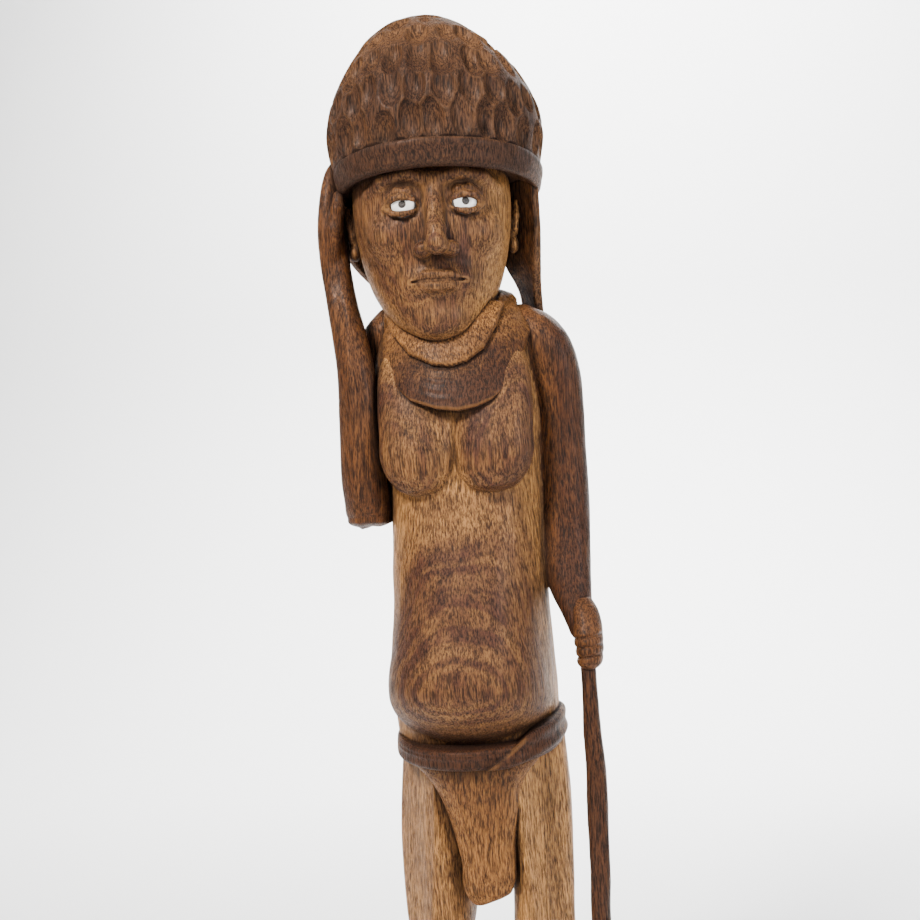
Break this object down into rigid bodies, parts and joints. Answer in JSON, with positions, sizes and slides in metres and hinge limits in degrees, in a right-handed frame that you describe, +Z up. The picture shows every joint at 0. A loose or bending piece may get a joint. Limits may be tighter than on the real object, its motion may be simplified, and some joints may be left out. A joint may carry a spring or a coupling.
{
  "type": "carved ancestor figure",
  "caption": "Standing carved wooden ancestor figure in a gouged cap, one hand raised to a carrying strap, the other on a staff, on a plinth.",
  "frame": {"origin": "centre of the plinth's flat underside, on the floor", "axes": "+Z up along the figure, -Y the way its chest faces, +X towards the figure's left hand"},
  "size_m": [0.244, 0.208, 0.965],
  "materials": {
    "body_wood": "hand-carved hardwood, oiled, semi-gloss, with fine dark pores along the grain",
    "cap_wood": "gouge-cut hardwood, oiled, semi-gloss",
    "dress_wood": "hand-carved hardwood, darker in the cuts",
    "arm_wood": "hand-carved hardwood, darker, semi-gloss",
    "staff_wood": "whittled stick, reddish dark, satin",
    "plinth_wood": "log end, oiled, satin",
    "eye_shell": "polished white shell with a faint sheen",
    "eye_pitch": "hard black vegetable pitch, dull"
  },
  "bodies": {
    "root": {"plinth": "plinth_wood", "right_leg": "body_wood", "left_leg": "body_wood", "right_foot": "body_wood", "left_foot": "body_wood", "torso": "body_wood", "belt": "dress_wood", "loincloth_flap": "dress_wood", "rear_apron": "dress_wood", "collar": "dress_wood", "neck_roll": "dress_wood", "head": "body_wood", "right_ear": "body_wood", "left_ear": "body_wood", "cap": "cap_wood", "head_band": "cap_wood", "right_strap": "cap_wood", "left_strap": "cap_wood", "back_bag": "cap_wood", "right_upper_arm": "arm_wood", "right_forearm": "arm_wood", "right_hand": "arm_wood", "left_upper_arm": "arm_wood", "left_forearm": "arm_wood", "left_hand": "arm_wood", "staff": "staff_wood", "right_eye_shell": "eye_shell", "left_eye_shell": "eye_shell", "right_eye_pitch": "eye_pitch", "left_eye_pitch": "eye_pitch"}
  },
  "joints": []
}
